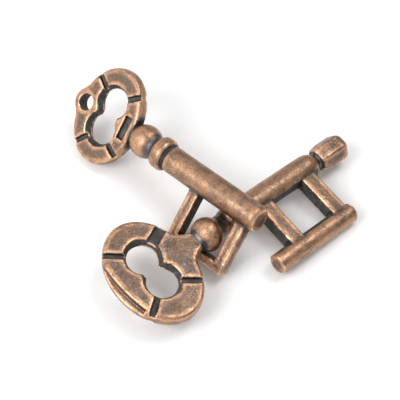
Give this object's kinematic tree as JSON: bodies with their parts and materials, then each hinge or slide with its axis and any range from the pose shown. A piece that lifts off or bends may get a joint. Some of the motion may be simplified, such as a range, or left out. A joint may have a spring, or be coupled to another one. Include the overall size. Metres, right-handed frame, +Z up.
{
  "type": "disentanglement puzzle",
  "caption": "Interlocked cast-metal puzzle keys with windowed oval bows; a closed rectangular bit is threaded on the other key's neck.",
  "frame": {"origin": "bottom centre of the interlocked pair's bounding box, on the table the pair lies on", "axes": "+Z up from the table; +X along the tip key's shank, from its bow to its tip; +Y towards the ring key's bow"},
  "size_m": [0.0784, 0.0748, 0.0213],
  "materials": {
    "antique_copper": "antique copper plating on a zinc casting, dark in the recesses and rubbed bright on the edges"
  },
  "bodies": {
    "tip_key": {"tip_key": "antique_copper"},
    "ring_key": {"ring_key": "antique_copper"}
  },
  "joints": [
    {"name": "ring_key_swing", "type": "hinge", "parent": "tip_key", "child": "ring_key", "pos_m": [-0.02818, -0.01826, 0.00867], "axis": [0.9981, 0, -0.061], "range_deg": [0, 140]}
  ]
}
